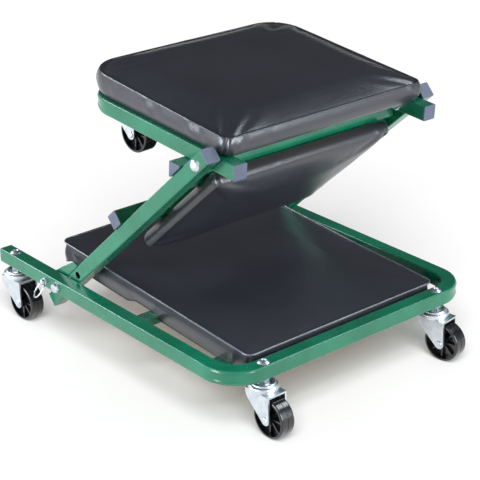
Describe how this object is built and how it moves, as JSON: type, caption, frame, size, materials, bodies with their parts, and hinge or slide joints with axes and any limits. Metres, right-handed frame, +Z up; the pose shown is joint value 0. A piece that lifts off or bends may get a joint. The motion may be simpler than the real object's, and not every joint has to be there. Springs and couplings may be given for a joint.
{
  "type": "rolling mechanic seat",
  "caption": "Folding rolling work seat on swivel casters: padded seat above a padded base frame, joined by a leaning padded middle frame that unfolds into a flat creeper.",
  "frame": {"origin": "on the floor, below the middle of the object's outline in plan", "axes": "+Z up, +Y from the closed front of the base to the open ends of its legs, +X to the right of a person who faces along +Y"},
  "size_m": [0.4664, 0.5374, 0.3937],
  "materials": {
    "green_paint": "gloss enamel",
    "zinc": "zinc plated",
    "black_plastic": "gloss",
    "grey_plastic": "satin",
    "vinyl_cover": "satin vinyl",
    "plywood": "raw plywood"
  },
  "bodies": {
    "base": {"base_frame": "green_paint", "base_crossbar": "green_paint", "base_front_strap": "green_paint", "base_end_plugs": "grey_plastic", "base_caster_bolts": "zinc", "base_spacer_nuts": "zinc", "base_raceways": "zinc", "lower_pivot_bolts": "zinc", "lower_pivot_nuts": "zinc", "lower_pivot_washers": "zinc", "lock_barrels": "zinc", "base_pad_board": "plywood", "base_pad": "vinyl_cover", "base_pad_screws": "zinc"},
    "middle": {"middle_tube_left": "green_paint", "middle_tube_right": "green_paint", "middle_crossbar": "green_paint", "middle_crossbar_plugs": "grey_plastic", "middle_tube_plugs": "grey_plastic", "lock_plates": "green_paint", "upper_pivot_bolts": "zinc", "upper_pivot_nuts": "zinc", "upper_pivot_washers": "zinc", "middle_pad_bars": "green_paint", "middle_pad_board": "plywood", "middle_pad": "vinyl_cover", "middle_pad_screws": "zinc"},
    "seat": {"seat_frame": "green_paint", "stop_bar": "green_paint", "stop_bar_plugs": "grey_plastic", "seat_end_plugs": "grey_plastic", "seat_pad_bars": "green_paint", "seat_pad_board": "plywood", "seat_pad": "vinyl_cover", "seat_pad_screws": "zinc", "seat_caster_bolts": "zinc", "seat_spacer_nuts": "zinc", "seat_raceways": "zinc"},
    "front_left_fork": {"front_left_fork": "zinc", "front_left_axle": "zinc"},
    "front_left_wheel": {"front_left_wheel": "black_plastic"},
    "front_right_fork": {"front_right_fork": "zinc", "front_right_axle": "zinc"},
    "front_right_wheel": {"front_right_wheel": "black_plastic"},
    "back_left_fork": {"back_left_fork": "zinc", "back_left_axle": "zinc"},
    "back_left_wheel": {"back_left_wheel": "black_plastic"},
    "back_right_fork": {"back_right_fork": "zinc", "back_right_axle": "zinc"},
    "back_right_wheel": {"back_right_wheel": "black_plastic"},
    "seat_left_fork": {"seat_left_fork": "zinc", "seat_left_axle": "zinc"},
    "seat_left_wheel": {"seat_left_wheel": "black_plastic"},
    "seat_right_fork": {"seat_right_fork": "zinc", "seat_right_axle": "zinc"},
    "seat_right_wheel": {"seat_right_wheel": "black_plastic"},
    "lock_pin_left": {"lock_pin_left": "zinc"},
    "pull_ring_left": {"pull_ring_left": "zinc"},
    "lock_pin_right": {"lock_pin_right": "zinc"},
    "pull_ring_right": {"pull_ring_right": "zinc"}
  },
  "joints": [
    {"name": "middle_fold", "type": "hinge", "parent": "base", "child": "middle", "pos_m": [0, 0.12909, 0.0835], "axis": [1, 0, 0], "range_deg": [-137.6, 0]},
    {"name": "seat_fold", "type": "hinge", "parent": "middle", "child": "seat", "pos_m": [0, -0.14414, 0.33299], "axis": [1, 0, 0], "range_deg": [0, 134.07]},
    {"name": "front_left_swivel", "type": "hinge", "parent": "base", "child": "front_left_fork", "pos_m": [-0.151, -0.22291, 0.0735], "axis": [0, 0, 1], "continuous": true},
    {"name": "front_left_roll", "type": "hinge", "parent": "front_left_fork", "child": "front_left_wheel", "pos_m": [-0.1506, -0.24191, 0.026], "axis": [0.9998, 0.0209, 0], "continuous": true},
    {"name": "front_right_swivel", "type": "hinge", "parent": "base", "child": "front_right_fork", "pos_m": [0.151, -0.22291, 0.0735], "axis": [0, 0, 1], "continuous": true},
    {"name": "front_right_roll", "type": "hinge", "parent": "front_right_fork", "child": "front_right_wheel", "pos_m": [0.15378, -0.24171, 0.026], "axis": [0.9893, 0.1461, 0], "continuous": true},
    {"name": "back_left_swivel", "type": "hinge", "parent": "base", "child": "back_left_fork", "pos_m": [-0.20075, 0.24259, 0.0735], "axis": [0, 0, 1], "continuous": true},
    {"name": "back_left_roll", "type": "hinge", "parent": "back_left_fork", "child": "back_left_wheel", "pos_m": [-0.19972, 0.22362, 0.026], "axis": [0.9985, 0.0541, 0], "continuous": true},
    {"name": "back_right_swivel", "type": "hinge", "parent": "base", "child": "back_right_fork", "pos_m": [0.20075, 0.24259, 0.0735], "axis": [0, 0, 1], "continuous": true},
    {"name": "back_right_roll", "type": "hinge", "parent": "back_right_fork", "child": "back_right_wheel", "pos_m": [0.20009, 0.2236, 0.026], "axis": [0.9994, -0.0349, 0], "continuous": true},
    {"name": "seat_left_swivel", "type": "hinge", "parent": "seat", "child": "seat_left_fork", "pos_m": [-0.098, 0.10191, 0.33815], "axis": [0, -0.0616, 0.9981], "continuous": true},
    {"name": "seat_left_roll", "type": "hinge", "parent": "seat_left_fork", "child": "seat_left_wheel", "pos_m": [-0.09717, 0.08589, 0.28957], "axis": [0.999, 0.0435, 0.0027], "continuous": true},
    {"name": "seat_right_swivel", "type": "hinge", "parent": "seat", "child": "seat_right_fork", "pos_m": [0.098, 0.10191, 0.33815], "axis": [0, -0.0616, 0.9981], "continuous": true},
    {"name": "seat_right_roll", "type": "hinge", "parent": "seat_right_fork", "child": "seat_right_wheel", "pos_m": [0.0975, 0.08588, 0.28957], "axis": [0.9997, -0.0261, -0.0016], "continuous": true},
    {"name": "lock_pull_left", "type": "slide", "parent": "base", "child": "lock_pin_left", "axis": [-1, 0, 0], "range_m": [0, 0.012], "stiffness_N_per_m": 400, "springref_m": -0.004},
    {"name": "ring_swing_left", "type": "hinge", "parent": "lock_pin_left", "child": "pull_ring_left", "pos_m": [-0.21535, 0.15609, 0.0835], "axis": [0, -0.8572, 0.515], "range_deg": [-50, 45]},
    {"name": "lock_pull_right", "type": "slide", "parent": "base", "child": "lock_pin_right", "axis": [1, 0, 0], "range_m": [0, 0.012], "stiffness_N_per_m": 400, "springref_m": -0.004},
    {"name": "ring_swing_right", "type": "hinge", "parent": "lock_pin_right", "child": "pull_ring_right", "pos_m": [0.21535, 0.15609, 0.0835], "axis": [0, 0.8572, -0.515], "range_deg": [-50, 45]}
  ]
}
